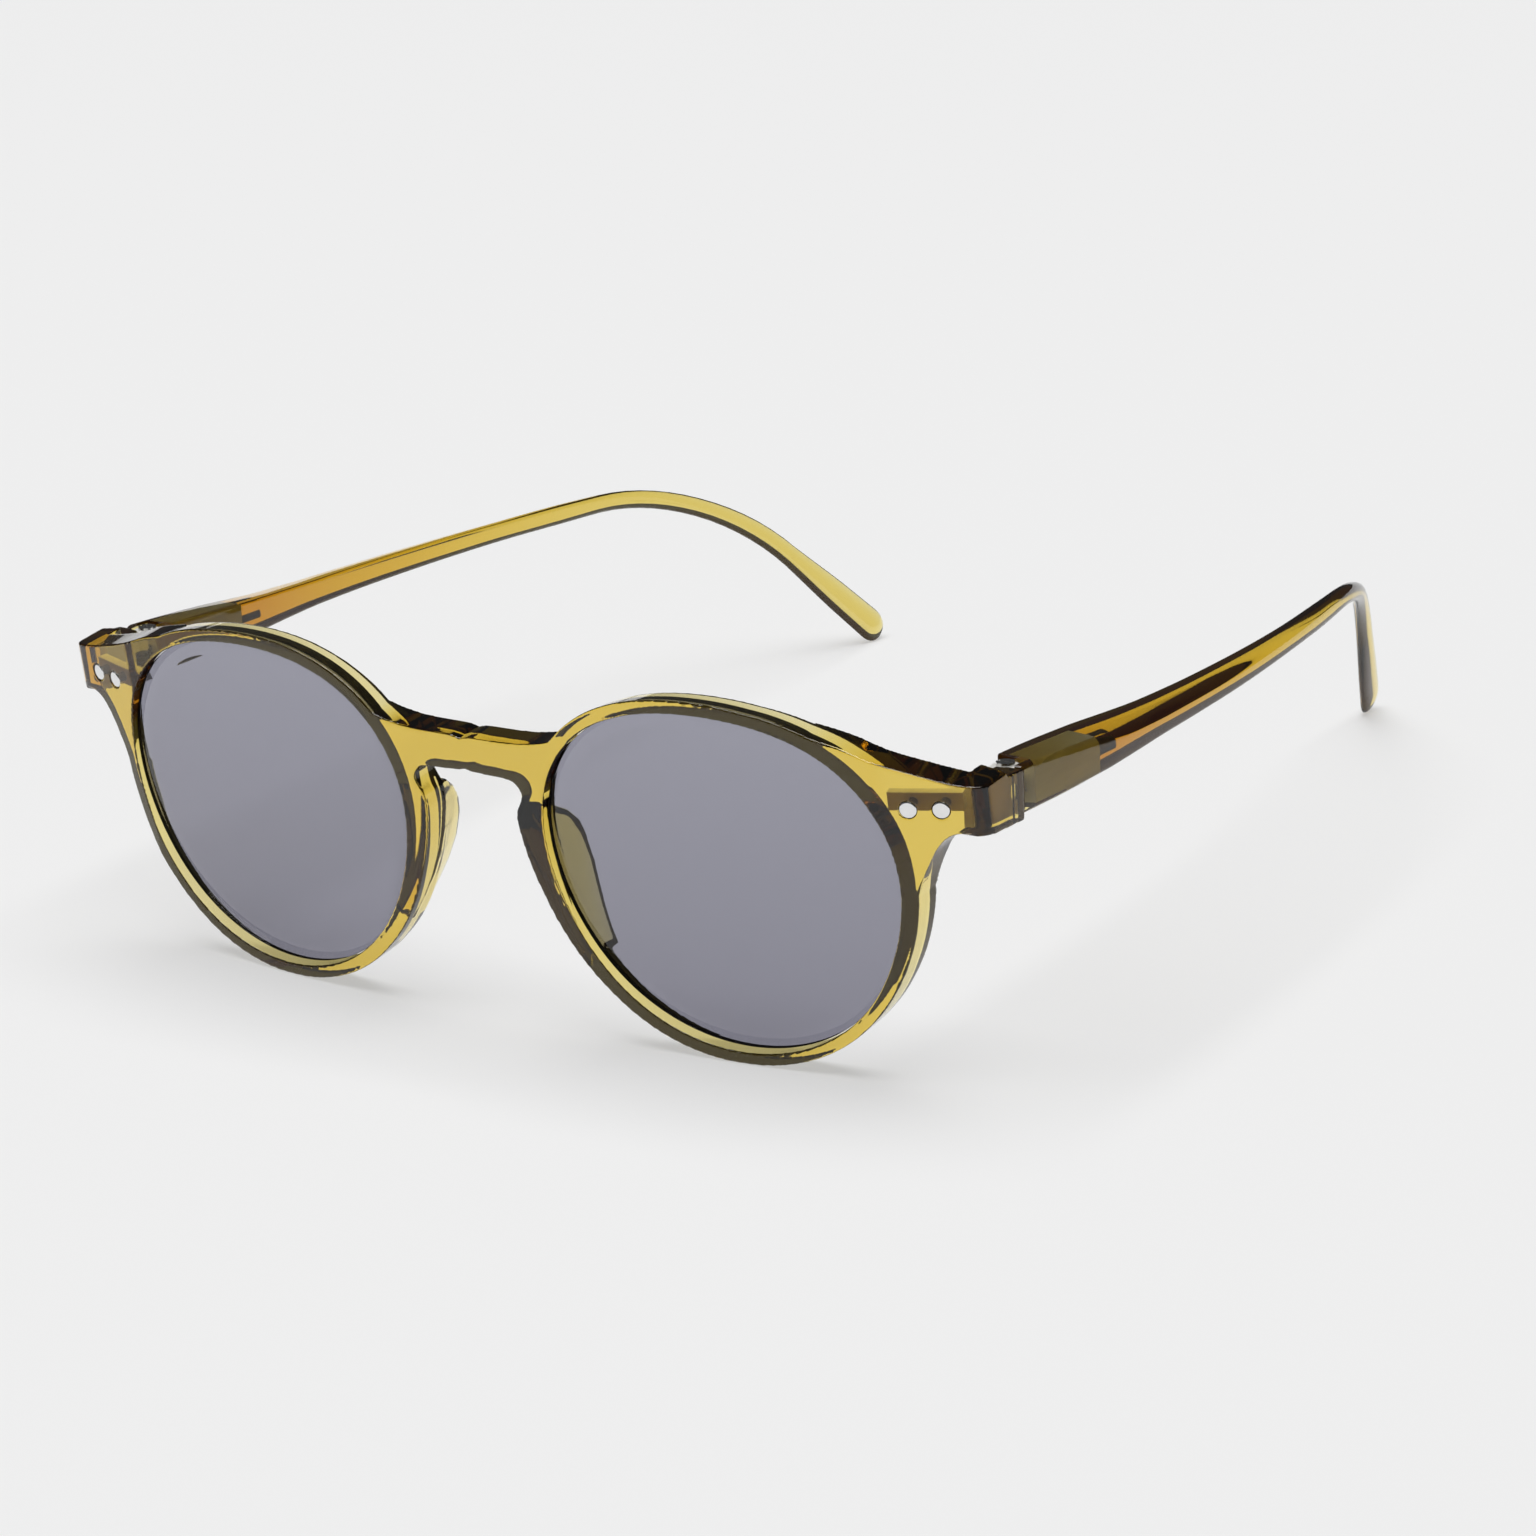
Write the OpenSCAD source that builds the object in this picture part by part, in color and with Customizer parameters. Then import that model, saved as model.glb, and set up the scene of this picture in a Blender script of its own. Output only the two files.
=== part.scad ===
// Sunglasses with round lenses, a keyhole bridge and sprung temples. Lengths are in millimetres.
// The glasses stand on their rims and temple tips. X runs from side to side, with the right side
// at plus X. Y runs back along the temples and Z is up.
// The origin is the middle of the footprint, on the surface that they stand on.

/* [Front] */
// Width of the front over the two endpieces
front_w = 139.6; // [132:0.2:168]
// Width of one lens opening
lens_w = 48.3; // [40:0.1:52]
// Height of one lens opening
lens_h = 44.5; // [37:0.1:54]
// Gap between the two lens openings at the nose
bridge_w = 21.6; // [18:0.1:26]
// Depth of the rims from front to back
rim_d = 4.2; // [4:0.1:6]
// Radius of the curve that the front is bent to
face_r = 364; // [300:1:600]
// Width of the rim above the lens
rim_top_w = 1.5; // [1.2:0.05:2.6]
// Width of the rim on the outer side of the lens
rim_side_w = 2.2; // [1.6:0.05:3]
// Width of the rim under the lens
rim_low_w = 1.55; // [1.2:0.05:2.4]
// Width of the rim beside the nose
rim_nose_w = 3.1; // [2.4:0.05:4]

/* [Lenses] */
// Thickness of a lens
lens_t = 1.6; // [1.2:0.05:1.8]
// Radius that a lens is ground to
lens_r = 200; // [160:1:400]
// How far the edge of a lens reaches into the rim
lens_grip = 0.6; // [0.3:0.05:0.9]
// Distance from the front of the rims back to the crown of a lens
lens_inset = 0.9; // [0.5:0.05:1]
// Clearance round the edge of a lens
lens_gap = 0.04; // [0.02:0.01:0.1]

/* [Nose pads] */
// How far a pad stands out behind its rim
pad_d = 4.6; // [3:0.1:6]
// Thickness of a pad
pad_t = 2.3; // [1.6:0.1:3]
// Angle by which a pad spreads towards the eye
pad_turn = 16; // [8:1:22]

/* [Endpieces] */
// Distance from the middle of the front to the start of an endpiece
wrap_x = 57; // [56:0.5:58]
// Angle that an endpiece turns back by
wrap_turn = 18; // [14:1:22]
// Radius of the corner between the front and the side
corner_r = 2.6; // [1.5:0.1:3.2]
// Thickness of the arm that runs back to the hinge
arm_t = 3.6; // [3.2:0.1:4.5]
// Length of the side, from the front corner's line back to the hinge pin
arm_l = 9.8; // [9:0.1:12]
// Height of the arm, which is also the height of the temple where they meet
arm_h = 6.2; // [5.8:0.1:7.5]
// Gap between the arm and the temple
arm_gap = 0.3; // [0.2:0.05:0.5]

/* [Front pins] */
// Diameter of the round head of a pin
pin_head_d = 2.2; // [1.8:0.1:2.6]
// Thickness of the head
pin_head_t = 0.7; // [0.5:0.1:1]
// Diameter of the pin's shaft
pin_d = 1.2; // [0.8:0.1:1.4]
// Distance between the two pins of one endpiece
pin_pitch = 4; // [3.4:0.1:4.6]
// Distance from the start of the endpiece to the first pin
pin_start = 4.15; // [3.8:0.05:4.4]
// Clearance round a pin
pin_gap = 0.02; // [0.01:0.01:0.05]

/* [Hinges] */
// Outer diameter of the hinge barrel
barrel_d = 3.3; // [3:0.1:3.6]
// Height of the hinge barrel
barrel_h = 5.4; // [5:0.1:5.6]
// Height of the middle knuckle
knuckle_h = 1.8; // [1.4:0.1:2.2]
// Gap between knuckles
knuckle_gap = 0.05; // [0.03:0.01:0.1]
// Diameter of the hinge screw
screw_d = 1.4; // [1.2:0.1:1.6]
// Diameter of the screw's head
screw_head_d = 2.3; // [2:0.1:2.6]
// Thickness of the screw's head
screw_head_t = 0.45; // [0.3:0.05:0.6]
// Running clearance between the screw and the middle knuckle
screw_fit = 0.04; // [0.02:0.01:0.08]
// Thickness of the metal of the hinge
leaf_t = 1.2; // [1:0.1:1.5]
// Height of the plate behind the endpiece
plate_h = 2.3; // [2:0.1:3]

/* [Temples] */
// Length of the straight part, from the hinge pin to where the hook starts to bend
straight_l = 89; // [80:1:110]
// Radius of the bend behind the ear, seen from the side
bend_r = 40; // [32:1:50]
// Angle that the hook drops by
hook_drop = 47; // [38:1:52]
// Length of the hook after the bend
hook_l = 19.5; // [16:0.5:28]
// Angle by which the temples slope down from the front
temple_drop = 8.3; // [4:0.1:12]
// Thickness of the temple where it is thickest, over the spring box
temple_t = 6.3; // [5.9:0.1:7.5]
// Thickness of the thin part of the temple
slim_t = 2.8; // [2.2:0.1:3.6]
// Least height of the temple, where the bend starts
slim_h = 2.5; // [2:0.1:3.4]
// Height of the widened tip
tip_h = 5.3; // [4.5:0.1:7]

/* [Spring boxes] */
// Length of the box
box_l = 14; // [13:0.5:17]
// Width of the box
box_w = 3.6; // [3.4:0.1:4]
// Height of the box
box_h = 4.2; // [4:0.1:4.6]
// Width and height of the guide bar of the slide
guide_w = 1.8; // [1.6:0.1:2]
// Diameter of the rod that carries the spring
rod_d = 0.8; // [0.7:0.05:1]
// Sliding clearance of the guide bar and the rod
slide_fit = 0.05; // [0.03:0.01:0.1]
// Diameter of the bore that holds the spring
bore_d = 2.7; // [2.6:0.1:2.9]
// How far the temple can be pulled out against its spring
pull_l = 2; // [1:0.1:2.4]
// Diameter of the spring's wire
wire_d = 0.34; // [0.3:0.02:0.4]
// Number of turns of the spring
spring_turns = 7; // [5:1:8]

/* [Hidden] */

// Overrun of every cut past the face that it opens
over = 1;

// Lens openings. The outline is an ellipse with three small waves, which give the panto shape.
lens_x = (bridge_w + lens_w) / 2;
lens_z_share = -0.088;
lens_z = lens_z_share * lens_h;
skew_share = -0.018;
panto_share = 0.031;
square_share = -0.0115;
outline_step = 6;
function lens_wave(a) = 1 + skew_share * sin(2 * a) + panto_share * sin(3 * a) + square_share * cos(4 * a);
function lens_point(a, grow) = [
    lens_x + (lens_w / 2 * lens_wave(a) + grow) * cos(a),
    lens_z + (lens_h / 2 * lens_wave(a) + grow) * sin(a)
];
rim_widths = [
    [0, rim_side_w], [45, rim_side_w], [75, rim_top_w], [120, rim_top_w * 0.9], [140, rim_top_w],
    [180, rim_nose_w],
    [225, (rim_nose_w + 3 * rim_low_w) / 4], [270, rim_low_w], [315, rim_low_w], [360, rim_side_w]
];

// Places along the front, as shares of the lens's half height from the middle of the lens,
// and across as shares of half the bridge or of the way from the lens's middle to the side.
function up(share) = lens_z + share * lens_h / 2;
function across(share) = lens_x + share * (front_w / 2 - lens_x);
function from_middle(share) = share * bridge_w / 2;
bridge_shares = [
    [0, 0.658], [0.74, 0.66], [1, 0.675], [1.16, 0.69], [1.3, 0.712], [1.5, 0.6], [1.3, 0.1], [1.45, -0.4],
    [1.27, -0.57], [1.085, -0.43], [0.93, -0.295], [0.81, -0.16], [0.72, -0.02], [0.665, 0.118],
    [0.645, 0.19], [0.66, 0.262], [0.73, 0.31], [0.76, 0.352], [0.745, 0.39], [0.675, 0.424],
    [0.575, 0.442], [0, 0.451]
];
// The nose pads use this stretch of the list above
pad_first = 8;
pad_last = 15;
endpiece_shares = [
    [0.36, 0.915], [0.43, 0.893], [0.52, 0.858], [0.6, 0.808], [0.69, 0.757], [0.75, 0.728],
    [0.81, 0.7], [0.86, 0.678], [0.905, 0.66], [1.02, 0.637], [1.02, 0.385], [0.891, 0.38], [0.85, 0.34],
    [0.81, 0.26], [0.762, 0.1], [0.74, -0.02], [0.6, 0], [0.4, 0.5]
];

// Plan of the front: the face curve, the turned endpiece and the side
side_x = front_w / 2;
function front_y(x) = face_r - sqrt(face_r * face_r - x * x);
function back_y(x) = face_r - sqrt((face_r - rim_d) * (face_r - rim_d) - x * x);
side_y = front_y(wrap_x) + (side_x - wrap_x) * tan(wrap_turn);
corner_y = side_y + corner_r * (1 / cos(wrap_turn) - tan(wrap_turn));
wrap_t = (back_y(wrap_x) - front_y(wrap_x)) * cos(wrap_turn);
arm_in_x = side_x - arm_t;
corner_steps = 6;
face_top = lens_h / 2;
face_low = -lens_h;

// Hinge. Its own frame has the pin along Z and the temple along Y.
hinge_share = 0.44;
hinge_inset_share = 0.97;
hinge_pos = [side_x - hinge_inset_share * arm_t, side_y + arm_l, up(hinge_share)];
barrel_r = barrel_d / 2;
swing_gap = 0.3;
ear_h = (barrel_h - knuckle_h) / 2 - knuckle_gap;
ear_z = knuckle_h / 2 + knuckle_gap;
leaf_out = hinge_pos[0] - arm_in_x + swing_gap / 3;
leaf_back = barrel_r + swing_gap;
// The leaf starts inside the plate, so that the two are one piece
leaf_start_share = 0.6;
leaf_x = hinge_pos[0] - leaf_out - leaf_t / 2;
leaf_start_y = front_y(wrap_x) + (leaf_x - wrap_x) * tan(wrap_turn)
    + (wrap_t + leaf_start_share * leaf_t) / cos(wrap_turn);
leaf_l = hinge_pos[1] - leaf_start_y;
pin_share = 0.516;
plate_margin = 0.35;
// The plate runs into the leaf, however far out the hinge lies
plate_cover_share = 0.1;
plate_w = max(side_x - arm_t - wrap_x,
    (leaf_x - plate_cover_share * leaf_t - wrap_x + wrap_t * sin(wrap_turn)) / cos(wrap_turn)
        - plate_margin * 3);
slot_w = screw_head_d / 6;
slot_t = screw_head_t / 2;

// Temple, in the frame of the hinge. A path is a list of [length, angle that it turns through].
temple_inset = 0.1;
temple_x = side_x - hinge_pos[0] - temple_t / 2 - temple_inset;
temple_rise_share = 0.05;
temple_rise = temple_rise_share * arm_h;
lip_y = -barrel_r + 1.5 * arm_gap;
bend_l = bend_r * hook_drop * PI / 180;
side_path = [[straight_l - lip_y, 0], [bend_l, -hook_drop], [hook_l, 0]];
side_l = straight_l - lip_y + bend_l + hook_l;
// Seen from above, the temple leans in slowly along the cheek and faster behind the ear
cheek_turn = 11.5;
hook_in = 26.5;
cheek_start_share = 0.27;
cheek_share = 0.72;
ear_share = 0.5;
plan_path = [
    [cheek_start_share * straight_l - lip_y, 0], [cheek_share * straight_l, cheek_turn],
    [ear_share * bend_r, hook_in - cheek_turn], [bend_l + hook_l, 0]
];
plan_l = (cheek_start_share + cheek_share) * straight_l - lip_y + ear_share * bend_r + bend_l + hook_l;
path_step = 5;
tip_r = tip_h * 0.36;

// Height of the temple at shares of the length of its side path
function temple_height(s) = lookup(s / side_l, [
    [0, arm_h], [0.02, arm_h * 0.96], [0.06, arm_h * 0.88], [0.1, arm_h * 0.78], [0.14, arm_h * 0.72],
    [0.18, arm_h * 0.65], [0.23, arm_h * 0.6], [0.31, arm_h * 0.545], [0.4, arm_h * 0.5],
    [0.5, arm_h * 0.47], [0.58, slim_h * 1.08], [0.64, slim_h], [0.7, slim_h],
    [0.76, slim_h * 1.04], [0.81, slim_h * 1.16],
    [0.87, tip_h * 0.66], [0.93, tip_h * 0.87], [1, tip_h * 0.96]
]);
// Thickness of the temple at shares of the straight part
function temple_thick(s) = lookup(s / straight_l, [
    [0, temple_t * 0.85], [0.08, temple_t * 0.95], [0.14, temple_t], [0.22, temple_t],
    [0.28, temple_t * 0.91], [0.35, temple_t * 0.8], [0.42, temple_t * 0.715],
    [0.49, temple_t * 0.65], [0.6, temple_t * 0.57],
    [0.72, slim_t * 1.13], [0.85, slim_t * 1.05], [1, slim_t], [1.2, slim_t * 0.95], [2, slim_t * 0.9]
]);

// Point and heading at distance s along a path of straight stretches and arcs
function along(path, s, at = [lip_y, 0], heading = 0, i = 0) =
    let (l = path[i][0], turn = path[i][1])
    (s <= l || i == len(path) - 1)
        ? concat(stretch(at, heading, s, turn * s / l), [heading + turn * s / l])
        : along(path, s - l, stretch(at, heading, l, turn), heading + turn, i + 1);
// End of a stretch that leaves a point at a heading and turns evenly over its length
function stretch(at, heading, l, turn) =
    let (chord = abs(turn) < 0.01 ? l : l * sin(turn / 2) / (turn / 2 * PI / 180))
    [at[0] + chord * cos(heading + turn / 2), at[1] + chord * sin(heading + turn / 2)];
// Point beside a path, off to its left by the distance given
function beside(path, s, off) =
    let (p = along(path, s))
    [p[0] - off * sin(p[2]), p[1] + off * cos(p[2])];

// Side view of the temple, with a rounded end
side_stops = [for (s = [0 : path_step : side_l - tip_r]) s];
tip_angles = [for (a = [0 : 30 : 90]) a];
function temple_side() = concat(
    [for (s = side_stops) beside(side_path, s, temple_height(s) / 2)],
    [for (a = tip_angles)
        beside(side_path, side_l - tip_r + tip_r * sin(a), tip_h / 2 - tip_r + tip_r * cos(a))],
    [for (a = tip_angles)
        beside(side_path, side_l - tip_r + tip_r * cos(a), -tip_h / 2 + tip_r - tip_r * sin(a))],
    [for (i = [len(side_stops) - 1 : -1 : 0])
        beside(side_path, side_stops[i], -temple_height(side_stops[i]) / 2)]
);
plan_stops = [for (s = [0 : path_step : plan_l]) s];
function temple_plan() = concat(
    [for (s = plan_stops) beside(plan_path, s, temple_thick(s) / 2)],
    [for (i = [len(plan_stops) - 1 : -1 : 0])
        beside(plan_path, plan_stops[i], -temple_thick(plan_stops[i]) / 2)]
);

// Stance. The rims touch the surface at their lowest front edge, and the tips behind them.
stance_x = lens_x;
rim_foot = [front_y(stance_x), lens_point(270, rim_low_w)[1]];
// A point of the temple's side view, turned into the frame of the front
function from_hinge(p) = [
    hinge_pos[1] + p[0] * cos(temple_drop) + (p[1] + temple_rise) * sin(temple_drop),
    hinge_pos[2] - p[0] * sin(temple_drop) + (p[1] + temple_rise) * cos(temple_drop)
];
temple_edge = [for (p = temple_side()) from_hinge(p)];
tilt = max([for (p = temple_edge) atan2(rim_foot[1] - p[1], p[0] - rim_foot[0])]);
foot_z = rim_foot[0] * sin(tilt) + rim_foot[1] * cos(tilt);
back_end = max([for (p = temple_edge) p[0] * cos(tilt) - p[1] * sin(tilt)]);
front_end = -up(bridge_shares[0][1]) * sin(tilt);
middle_y = (back_end + front_end) / 2;

// Spring box, in the frame of the hinge. The plug closes its bore and ends in a tail.
box_start_gap = 0.55;
box_shift = 0.05;
box_y = barrel_r + box_start_gap;
box_x = temple_x + box_shift;
box_fit = 0.03;
guide_grip = 1.08;
guide_l = pull_l + guide_grip;
shoulder_share = 0.06;
shoulder_t = shoulder_share * box_l;
stop_share = 0.09;
stop_l = stop_share * box_l;
plug_share = 0.085;
plug_l = plug_share * box_l;
plug_clear = 0.2;
tail_l = 4.5;
tail_d = 1;
bore_y = box_y + guide_l + shoulder_t;
spring_y = bore_y + slide_fit;
spring_l = box_l - guide_l - shoulder_t - stop_l - plug_l - plug_clear - 2 * slide_fit;
stop_y = spring_y + spring_l + slide_fit;
spring_side_gap = 0.15;
spring_r = (bore_d - wire_d) / 2 - spring_side_gap;

// Puts a shape made in the frame of the front into the standing position
module stand() {
    translate([0, -middle_y, -foot_z]) rotate([tilt, 0, 0]) children();
}

// Puts a shape made in the frame of the hinge on the right side of the front
module at_hinge() {
    translate(hinge_pos) rotate([-temple_drop, 0, 0]) children();
}

// Shows a right-hand shape as it is, or mirrored for the left
module on_side(side) {
    mirror([side < 0 ? 1 : 0, 0, 0]) children();
}

// Raises a view seen from the front into a block that runs from one depth to another
module block(from, to) {
    translate([0, to, 0]) rotate([90, 0, 0]) linear_extrude(to - from) children();
}

// View of one lens opening, grown outwards
module lens_view(grow) {
    polygon([for (a = [0 : outline_step : 359]) lens_point(a, grow)]);
}

// View of one rim from the front, filled
module rim_view() {
    polygon([for (a = [0 : outline_step : 359]) lens_point(a, lookup(a, rim_widths))]);
}

// Half of the front seen from the front, filled
module front_view() {
    rim_view();
    polygon([for (p = bridge_shares) [from_middle(p[0]), up(p[1])]]);
    polygon([for (p = endpiece_shares) [across(p[0]), up(p[1])]]);
}

// Plan of the front from above: the curved middle and the two turned ends
module front_plan() {
    intersection() {
        translate([0, face_r]) difference() {
            circle(r = face_r, $fn = 360);
            circle(r = face_r - rim_d, $fn = 360);
        }
        translate([-wrap_x, -over]) square([2 * wrap_x, back_y(wrap_x) + 2 * over]);
    }
    for (side = [-1, 1]) mirror([side < 0 ? 1 : 0, 0]) end_plan();
}

// Plan of one endpiece with its arm
module end_plan() {
    polygon(concat(
        [[wrap_x, front_y(wrap_x)]],
        [for (i = [0 : corner_steps])
            let (a = wrap_turn - 90 + i * (90 - wrap_turn) / corner_steps)
            [side_x - corner_r + corner_r * cos(a), corner_y + corner_r * sin(a)]],
        [[side_x, hinge_pos[1] + over], [arm_in_x, hinge_pos[1] + over]],
        [[arm_in_x, back_y(wrap_x) + (arm_in_x - wrap_x) * tan(wrap_turn)], [wrap_x, back_y(wrap_x)]]
    ));
}

// Arm of the endpiece, a bar in line with the temple
module arm() {
    intersection() {
        translate([0, 0, face_low]) linear_extrude(face_top - face_low) end_plan();
        at_hinge() difference() {
            translate([arm_in_x - hinge_pos[0], -arm_l, -arm_h / 2])
                cube([arm_t, arm_l - barrel_r + arm_gap / 2, arm_h]);
            cylinder(r = barrel_r + swing_gap, h = arm_h + 2 * over, center = true, $fn = 48);
        }
    }
}

// Places a shape at a pin on the front of the endpiece, with Z pointing back into it
module at_pin(i) {
    reach = pin_start + i * pin_pitch;
    translate([
        wrap_x + reach * cos(wrap_turn),
        front_y(wrap_x) + reach * sin(wrap_turn),
        up(pin_share)
    ]) rotate([0, 0, wrap_turn]) rotate([-90, 0, 0]) children();
}

// Holes for the two pins
module pin_holes() {
    for (i = [0, 1]) at_pin(i) {
        translate([0, 0, -over]) cylinder(d = pin_head_d + 2 * pin_gap, h = pin_head_t + over, $fn = 32);
        cylinder(d = pin_d + 2 * pin_gap, h = wrap_t + leaf_t + over, $fn = 24);
    }
}

// Nose pad on the right rim. It follows the edge of the rim and stands out behind it.
module nose_pad() {
    pad_rows = [
        [0.262, 0.2], [0.19, 0.55], [0.09, 0.88], [0, 1], [-0.16, 1], [-0.295, 0.83], [-0.43, 0.6],
        [-0.57, 0.35], [-0.66, 0]
    ];
    root_share = 0.85;
    root_y = root_share * rim_d;
    pivot_x = from_middle(bridge_shares[pad_last - 2][0]);
    edge = [for (i = [pad_first : pad_last]) [from_middle(bridge_shares[i][0]), up(bridge_shares[i][1])]];
    intersection() {
        translate([pivot_x, rim_d, 0]) rotate([0, 0, -pad_turn]) translate([-pivot_x, -rim_d, 0])
            block(root_y, rim_d + 2 * pad_d)
                polygon(concat(edge, [for (i = [len(edge) - 1 : -1 : 0]) edge[i] + [pad_t, 0]]));
        rotate([90, 0, 90]) linear_extrude(lens_x)
            polygon(concat(
                [for (p = pad_rows) [rim_d + p[1] * pad_d, up(p[0])]],
                [[0, up(pad_rows[len(pad_rows) - 1][0])], [0, up(pad_rows[0][0])]]
            ));
    }
}

// Solid bounded by the two faces of a lens, thicker by the clearance on each side
module lens_bowl(gap) {
    dome_y = front_y(lens_x) + lens_inset;
    translate([lens_x, dome_y, lens_z]) rotate([0, 0, asin(lens_x / face_r)]) translate([0, lens_r, 0])
        difference() {
            sphere(r = lens_r + gap, $fn = 200);
            sphere(r = lens_r - lens_t - gap, $fn = 200);
        }
}

// A lens, or the space that it needs
module lens_body(grow, gap) {
    intersection() {
        lens_bowl(gap);
        block(-over, rim_d * 3) lens_view(grow);
    }
}

module front_frame() {
    color([0.60, 0.48, 0.18]) stand() difference() {
        union() {
            intersection() {
                translate([0, 0, face_low]) linear_extrude(face_top - face_low) front_plan();
                block(-over, side_y + rim_d)
                    for (side = [-1, 1]) mirror([side < 0 ? 1 : 0, 0]) front_view();
            }
            for (side = [-1, 1]) on_side(side) {
                arm();
                nose_pad();
            }
        }
        for (side = [-1, 1]) on_side(side) {
            block(-over, side_y + 2 * rim_d) lens_view(0);
            lens_body(lens_grip + lens_gap, lens_gap);
            pin_holes();
        }
    }
}

module lens(side) {
    color([0.45, 0.45, 0.50, 0.6]) stand() on_side(side) lens_body(lens_grip, 0);
}

// The two pins of one endpiece, as two solids
module front_pins(side) {
    color("silver") stand() on_side(side) for (i = [0, 1]) at_pin(i) {
        cylinder(d = pin_head_d, h = pin_head_t, $fn = 32);
        cylinder(d = pin_d, h = wrap_t + leaf_t, $fn = 24);
    }
}

// Metal half of the hinge on the front: plate, leaf and two knuckles
module front_hinge(side) {
    color("silver") stand() on_side(side) difference() {
        union() {
            translate([wrap_x, front_y(wrap_x), up(pin_share) - plate_h / 2]) rotate([0, 0, wrap_turn])
                translate([plate_margin * 3, wrap_t, 0]) cube([plate_w, leaf_t, plate_h]);
            at_hinge() {
                translate([-leaf_out - leaf_t, -leaf_l, -barrel_h / 2])
                    cube([leaf_t, leaf_l - leaf_back, barrel_h]);
                for (up_side = [-1, 1])
                    translate([0, 0, up_side > 0 ? ear_z : -ear_z - ear_h]) {
                        cylinder(r = barrel_r, h = ear_h, $fn = 48);
                        translate([-leaf_out - leaf_t, -leaf_back - leaf_t, 0])
                            cube([leaf_t, leaf_back + leaf_t, ear_h]);
                    }
            }
        }
        at_hinge() cylinder(d = screw_d + 2 * pin_gap, h = barrel_h + 2 * over, center = true, $fn = 32);
        for (i = [0, 1]) at_pin(i) cylinder(d = pin_d + 2 * pin_gap, h = wrap_t + leaf_t + over, $fn = 24);
    }
}

// Screw that is the pin of the hinge, with its slotted head on top
module hinge_screw(side) {
    color("gainsboro") stand() on_side(side) at_hinge() {
        translate([0, 0, -barrel_h / 2]) cylinder(d = screw_d, h = barrel_h, $fn = 32);
        difference() {
            translate([0, 0, barrel_h / 2]) cylinder(d = screw_head_d, h = screw_head_t, $fn = 40);
            translate([-screw_head_d, -slot_w / 2, barrel_h / 2 + screw_head_t - slot_t])
                cube([2 * screw_head_d, slot_w, slot_t + over]);
        }
    }
}

// Middle knuckle with its guide bar and rod
module spring_slide(side) {
    color("silver") stand() on_side(side) at_hinge() difference() {
        union() {
            translate([0, 0, -knuckle_h / 2]) cylinder(r = barrel_r, h = knuckle_h, $fn = 48);
            translate([box_x - guide_w / 2, 0, -guide_w / 2])
                cube([guide_w, box_y + guide_l - slide_fit, guide_w]);
            translate([box_x, box_y + guide_l / 2, 0]) rotate([-90, 0, 0])
                cylinder(d = rod_d, h = stop_y + stop_l - box_y - guide_l / 2, $fn = 24);
        }
        cylinder(d = screw_d + 2 * screw_fit, h = barrel_h, center = true, $fn = 32);
    }
}

// Nut on the end of the rod, which the spring pushes on
module spring_stop(side) {
    color("goldenrod") stand() on_side(side) at_hinge() translate([box_x, stop_y, 0]) rotate([-90, 0, 0])
        difference() {
            cylinder(d = bore_d - 6 * slide_fit, h = stop_l, $fn = 32);
            translate([0, 0, -over]) cylinder(d = rod_d + 2 * pin_gap, h = stop_l + 2 * over, $fn = 24);
        }
}

// Coil spring, one unbroken tube round the rod
module hinge_spring(side) {
    sides = 6;
    ring_count = 8 * spring_turns;
    rise = (spring_l - wire_d) / spring_turns;
    function ring(i) = let (a = i * 45, y = wire_d / 2 + rise * i / 8) [
        for (k = [0 : sides - 1]) let (r = spring_r + wire_d / 2 * cos(k * 360 / sides))
        [r * cos(a), y + wire_d / 2 * sin(k * 360 / sides), r * sin(a)]
    ];
    points = [for (i = [0 : ring_count]) each ring(i)];
    walls = [for (i = [0 : ring_count - 1]) for (k = [0 : sides - 1])
        let (p = i * sides + k, q = i * sides + (k + 1) % sides)
        each [[p, p + sides, q], [q, p + sides, q + sides]]];
    caps = [
        [for (k = [0 : sides - 1]) k],
        [for (k = [sides - 1 : -1 : 0]) ring_count * sides + k]
    ];
    color("dimgray") stand() on_side(side) at_hinge() translate([box_x, spring_y, 0])
        polyhedron(points = points, faces = concat(caps, walls));
}

// Housing in the temple, with a guide at the front and the spring's bore behind it
module spring_box(side) {
    color("dimgray") stand() on_side(side) at_hinge() difference() {
        translate([box_x - box_w / 2, box_y, -box_h / 2]) cube([box_w, box_l, box_h]);
        translate([box_x - guide_w / 2 - slide_fit, box_y - over, -guide_w / 2 - slide_fit])
            cube([guide_w + 2 * slide_fit, guide_l + over, guide_w + 2 * slide_fit]);
        translate([box_x, box_y, 0]) rotate([-90, 0, 0])
            cylinder(d = rod_d + 2 * slide_fit, h = bore_y - box_y + over, $fn = 24);
        translate([box_x, bore_y, 0]) rotate([-90, 0, 0]) cylinder(d = bore_d, h = box_l, $fn = 32);
    }
}

// Plug that closes the box behind the spring, with a tail that holds the box in the temple
module box_plug(side) {
    color("silver") stand() on_side(side) at_hinge() translate([box_x, box_y + box_l - plug_l, 0])
        rotate([-90, 0, 0]) {
            cylinder(d = bore_d - 2 * pin_gap, h = plug_l, $fn = 32);
            cylinder(d = tail_d, h = plug_l + tail_l, $fn = 24);
        }
}

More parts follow.
